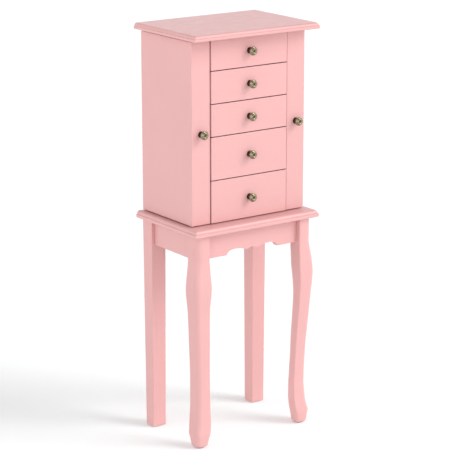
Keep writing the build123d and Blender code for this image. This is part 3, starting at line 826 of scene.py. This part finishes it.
right_low, right_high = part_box("right_door_hinge_leaves")
lid_leaf_low, lid_leaf_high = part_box("lid_hinge_leaves")
axis_x = right_low.x + BARREL * MM
leaf_face_y = right_low.y + LEAF_THICKNESS
lid_axis_z = lid_leaf_low.z + BARREL * MM
hinge_heights = (right_low.z + HALF_LEAF, right_high.z - HALF_LEAF)
lid_hinge_places = (lid_leaf_low.x + HALF_LEAF, lid_leaf_high.x - HALF_LEAF)
fixed_places = []
for side in (-1.0, 1.0):
    moving_places = [(side * (axis_x + HINGE_SCREW * MM), leaf_face_y, z + dz)
                     for z in hinge_heights for dz in ROW]
    fixed_places += [(side * (axis_x - HINGE_SCREW * MM), leaf_face_y, z + dz)
                     for z in hinge_heights for dz in ROW]
    name = "right" if side > 0 else "left"
    with_screws(name + "_door_hinge_leaves", moving_places)
fixed_places += [(x + dx, leaf_face_y, lid_axis_z - HINGE_SCREW * MM)
                 for x in lid_hinge_places for dx in ROW]
with_screws("cabinet_hinge_leaves", fixed_places)
lid_face_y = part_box("lid_panel")[1].y + LEAF_THICKNESS
with_screws("lid_hinge_leaves", [(x + dx, lid_face_y, lid_axis_z + HINGE_SCREW * MM)
                                 for x in lid_hinge_places for dx in ROW])

# ------------------------------------------------------------------ door catches and hooks
CATCH_SCREW_OFFSET = 2.6
CATCH_SCREW_DEPTH = 0.1
catch_low, catch_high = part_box("door_catches")
catch = (catch_low + catch_high) / 2
catch_mesh = joined([(rounded(cad_mesh("door_catches"), 0.9, 3), Matrix())])
catch_screws = []
for side in (-1.0, 1.0):
    for dz in (-CATCH_SCREW_OFFSET, CATCH_SCREW_OFFSET):
        place = (side * (catch_high.x - CATCH_SCREW_DEPTH * MM), catch.y, catch.z + dz * MM)
        catch_screws.append((leaf_screw, facing((side, 0, 0), place)))
add_piece("door_catches_finished", catch_mesh, body_of("door_catches"),
          catch_plastic, ["door_catches"])
add_piece("door_catches_screws", joined(catch_screws), body_of("door_catches"),
          hinge_steel)

HOOK_COUNT = 5
HOOK_RADIUS = 1.5
HOOK_BALL = HOOK_RADIUS * 1.3 * MM
HOOK_REACH = 12.0 * MM
HOOK_BEND = 3.2 * MM
BEND_STEPS = 8
hook_rosette = lathe([(0.0, 0.0), (3.4, 0.0), (3.6, 0.5), (3.0, 1.1), (1.9, 1.5), (1.4, 2.2),
                      (0.0, 2.2)], 28, 3)
hook_tip = lathe([(0.0, -1.9), (1.2, -1.5), (1.9, -0.2), (1.7, 1.0), (0.9, 1.75), (0.0, 1.95)],
                 24, 4)
for name, side in (("right", 1.0), ("left", -1.0)):
    node = name + "_door_necklace_hooks"
    low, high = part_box(node)
    root_x = high.x if side > 0 else low.x
    tip_x = root_x - side * HOOK_REACH
    z0 = low.z + HOOK_RADIUS * MM
    z1 = high.z - HOOK_BALL
    parts = []
    for index in range(HOOK_COUNT):
        y = low.y + HOOK_BALL + index * (high.y - low.y - 2 * HOOK_BALL) / (HOOK_COUNT - 1)
        path = [(root_x, y, z0), (root_x - side * 4 * MM, y, z0),
                (tip_x + side * HOOK_BEND, y, z0)]
        for k in range(1, BEND_STEPS):
            a = math.radians(90.0 * k / BEND_STEPS)
            path.append((tip_x + side * HOOK_BEND * (1 - math.sin(a)), y,
                         z0 + HOOK_BEND * (1 - math.cos(a))))
        path += [(tip_x, y, z0 + HOOK_BEND), (tip_x, y, z1)]
        parts.append((tube(path, HOOK_RADIUS * MM, 18), Matrix()))
        parts.append((hook_tip, Matrix.Translation((tip_x, y, z1))))
        parts.append((hook_rosette, facing((-side, 0, 0), (root_x, y, z0))))
    add_piece(node + "_bent", joined(parts), body_of(node), hook_brass, [node])

# ------------------------------------------------------------------ mirror
BEVEL_WIDTH = 9.0 * MM
BEVEL_DEPTH = 0.9 * MM
low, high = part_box("lid_mirror")
bm = bmesh.new()
rings = []
for inset, z in ((0.0, high.z), (0.0, low.z + BEVEL_DEPTH), (BEVEL_WIDTH, low.z)):
    rings.append([(low.x + inset, low.y + inset, z), (high.x - inset, low.y + inset, z),
                  (high.x - inset, high.y - inset, z), (low.x + inset, high.y - inset, z)])
ring_loft(bm, rings)
add_piece("lid_mirror_glass", mesh_from(bm, smooth=False), body_of("lid_mirror"),
          mirror_glass, ["lid_mirror"])


# ------------------------------------------------------------------ felt linings
FELT_CELL = 4 * MM
FELT_UNEVEN = 0.12 * MM
FELT_BELOW = 0.14 * MM
FELT_EDGE_DROP = 0.45 * MM


def felt_sheet(node):
    """A felt sheet cut to the node's size, with a soft edge and a slightly uneven face."""
    low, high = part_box(node)
    width, length = high.x - low.x, high.y - low.y
    columns, rows = int(width / FELT_CELL), int(length / FELT_CELL)
    bm = bmesh.new()
    grid = []
    for j in range(rows + 1):
        row = []
        for i in range(columns + 1):
            x = low.x + width * i / columns
            y = low.y + length * j / rows
            lift = noise.noise(Vector((x * 40, y * 40, low.z * 13))) * FELT_UNEVEN
            at_edge = i in (0, columns) or j in (0, rows)
            drop = FELT_EDGE_DROP if at_edge else 0.0
            row.append(bm.verts.new((x, y, high.z - FELT_BELOW + lift - drop)))
        grid.append(row)
    for j in range(rows):
        for i in range(columns):
            bm.faces.new((grid[j][i], grid[j][i + 1], grid[j + 1][i + 1], grid[j + 1][i]))
    border = grid[0] + [r[-1] for r in grid[1:]] + grid[-1][-2::-1] + [r[0] for r in grid[-2:0:-1]]
    foot = [bm.verts.new((v.co.x, v.co.y, low.z)) for v in border]
    for k in range(len(border)):
        n = (k + 1) % len(border)
        bm.faces.new((border[k], foot[k], foot[n], border[n]))
    bm.faces.new(foot)
    piece = add_piece(node + "_felt", mesh_from(bm), body_of(node), velvet, [node])


for index in DRAWERS:
    felt_sheet(f"drawer_{index}_lining")
felt_sheet("tray_lining")

# ------------------------------------------------------------------ ring rolls
ROLL_COUNT = 8
ROLL_GAP = 1.5 * MM
ROLL_SHRINK = 1.6 * MM
ROLL_CORNER = 4.6 * MM
ROLL_VOXEL = 1.7 * MM
ROLL_PRESSURE = 4.0
ROLL_FRAMES = 20
ROLL_SWELL = 0.9 * MM
ROLL_SINK = 0.3 * MM
rolls_low, rolls_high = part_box("ring_rolls")
roll_pitch = (rolls_high.y - rolls_low.y + ROLL_GAP) / ROLL_COUNT
roll_size = Vector((rolls_high.x - rolls_low.x, roll_pitch - ROLL_GAP, rolls_high.z - rolls_low.z))


def roll_mesh():
    """One padded roll about the origin, resting on z = 0, blown up softly from a smaller form."""
    inner = roll_size - Vector((ROLL_SHRINK, ROLL_SHRINK, ROLL_SHRINK))
    bm = bmesh.new()
    bmesh.ops.create_cube(bm, size=1.0)
    for vert in bm.verts:
        vert.co = Vector((vert.co.x * inner.x, vert.co.y * inner.y, vert.co.z * inner.z))
    mesh = modified(mesh_from(bm), ("BEVEL", {"width": ROLL_CORNER, "segments": 4}),
                    ("REMESH", {"mode": "VOXEL", "voxel_size": ROLL_VOXEL}))
    rest = np.array([v.co for v in mesh.vertices])
    pad = bpy.data.objects.new("pad", mesh)
    scene.collection.objects.link(pad)
    cloth = pad.modifiers.new("cloth", "CLOTH")
    cloth.settings.use_pressure = True
    cloth.settings.uniform_pressure_force = ROLL_PRESSURE
    cloth.settings.effector_weights.gravity = 0.0
    cloth.settings.quality = 5
    for step in range(1, ROLL_FRAMES + 1):
        scene.frame_set(step)
    graph = bpy.context.evaluated_depsgraph_get()
    blown = pad.evaluated_get(graph).to_mesh()
    moved = np.array([v.co for v in blown.vertices]) - rest
    length = np.linalg.norm(moved, axis=1, keepdims=True)
    moved *= np.minimum(1.0, ROLL_SWELL / np.maximum(length, 1e-9))
    pad.modifiers.clear()
    for vert, place in zip(mesh.vertices, rest + moved):
        vert.co = place
    bpy.data.objects.remove(pad)
    scene.frame_set(1)
    mesh = modified(mesh, ("SMOOTH", {"factor": 0.5, "iterations": 3}),
                    ("SUBSURF", {"levels": 1}))
    half = roll_size / 2
    for vert in mesh.vertices:
        vert.co.x = max(-half.x, min(half.x, vert.co.x))
        vert.co.y = max(-half.y, min(half.y, vert.co.y))
        vert.co.z = max(0.0, min(roll_size.z, vert.co.z + half.z))
    return mesh


roll = roll_mesh()
for index in range(ROLL_COUNT):
    mesh = roll.copy()
    for vert in mesh.vertices:
        spot = Vector((vert.co.x * 30, index * 7.3, vert.co.z * 60))
        up = vert.co.z / roll_size.z
        vert.co.z *= 1.0 - 0.05 * max(noise.noise(spot), 0.0) * up
        vert.co.y *= 1.0 - 0.04 * max(noise.noise(spot * 1.7), 0.0)
    for polygon in mesh.polygons:
        polygon.use_smooth = True
    y = rolls_low.y + (index + 0.5) * roll_pitch - ROLL_GAP / 2
    x = (rolls_low.x + rolls_high.x) / 2
    mesh.transform(Matrix.Translation((x, y, rolls_low.z - ROLL_SINK)))
    pad = add_piece(f"ring_roll_{index + 1}", mesh, body_of("ring_rolls"), velvet,
                    ["ring_rolls"])


# ------------------------------------------------------------------ floor, light and camera
FLOOR_REACH = 12.0
FLOOR_GLOW = 0.11
# how high the sky is seen, as the sine of its angle, and its strength there
LOW_SKY, HIGH_SKY = (0.35, 1.88), (0.74, 0.36)
# the direction behind the object, how near to it the sky is seen, and its factor there
BEHIND = (0.58, 0.81, 0.0)
ASIDE, STRAIGHT_BEHIND = (0.45, 1.0), (0.85, 0.62)
SUN_ENERGY = 1.4
SUN_ANGLE = 28.0
SUN_FROM = (0.51, -0.58, 0.635)


def make_floor():
    """A wide pale floor with a faint glow of its own, so that it stays near white."""
    bm = bmesh.new()
    bmesh.ops.create_grid(bm, x_segments=24, y_segments=24, size=FLOOR_REACH)
    floor = bpy.data.objects.new("studio_floor", mesh_from(bm))
    s = Shader("pale_floor", Roughness=0.9, Specular_IOR_Level=0.0,
               Emission_Strength=FLOOR_GLOW)
    s.surface.inputs["Emission Color"].default_value = (0.94, 1.0, 1.0, 1.0)
    s.link(s.blend(s.noise(3.0), (0.89, 0.905, 0.91), (0.9, 0.915, 0.92)), "Base Color")
    floor.data.materials.append(s.material)
    scene.collection.objects.link(floor)


make_floor()


def linear_range(tree, value, first, last):
    """Maps a value along a straight line between two (value, result) pairs, clamped."""
    return map_range(tree, value, first[0], last[0], first[1], last[1], "LINEAR")


def make_sky():
    """White studio light, strong near the floor, weak overhead and dimmer behind the object."""
    world = bpy.data.worlds.new("studio")
    scene.world = world
    world.use_nodes = True
    tree = world.node_tree
    background = tree.nodes["Background"]
    background.inputs["Color"].default_value = (1.0, 1.0, 1.0, 1.0)
    direction = tree.nodes.new("ShaderNodeTexCoord").outputs["Generated"]
    split = tree.nodes.new("ShaderNodeSeparateXYZ")
    tree.links.new(direction, split.inputs["Vector"])
    toward = tree.nodes.new("ShaderNodeVectorMath")
    toward.operation = "DOT_PRODUCT"
    toward.inputs[1].default_value = BEHIND
    tree.links.new(direction, toward.inputs[0])
    fall = linear_range(tree, split.outputs["Z"], LOW_SKY, HIGH_SKY)
    dim = linear_range(tree, toward.outputs["Value"], ASIDE, STRAIGHT_BEHIND)
    strength = tree.nodes.new("ShaderNodeMath")
    strength.operation = "MULTIPLY"
    tree.links.new(fall, strength.inputs[0])
    tree.links.new(dim, strength.inputs[1])
    tree.links.new(strength.outputs["Value"], background.inputs["Strength"])


make_sky()

sun = bpy.data.lights.new("key", "SUN")
sun.energy = SUN_ENERGY
sun.angle = math.radians(SUN_ANGLE)
key = bpy.data.objects.new("key", sun)
key.matrix_world = facing(SUN_FROM, (1.5, -1.5, 2.0))
scene.collection.objects.link(key)

CAMERA_DOWN = 15.021
CAMERA_ROUND = -35.576
lens = bpy.data.cameras.new("camera")
lens.sensor_width = 36.0
lens.lens = 152.36
camera = bpy.data.objects.new("camera", lens)
camera.location = (-2.38196, -3.33995, 1.54765)
camera.rotation_euler = Euler((math.radians(90 - CAMERA_DOWN), 0.0, math.radians(CAMERA_ROUND)))
scene.collection.objects.link(camera)
scene.camera = camera
scene.view_settings.view_transform = "Standard"
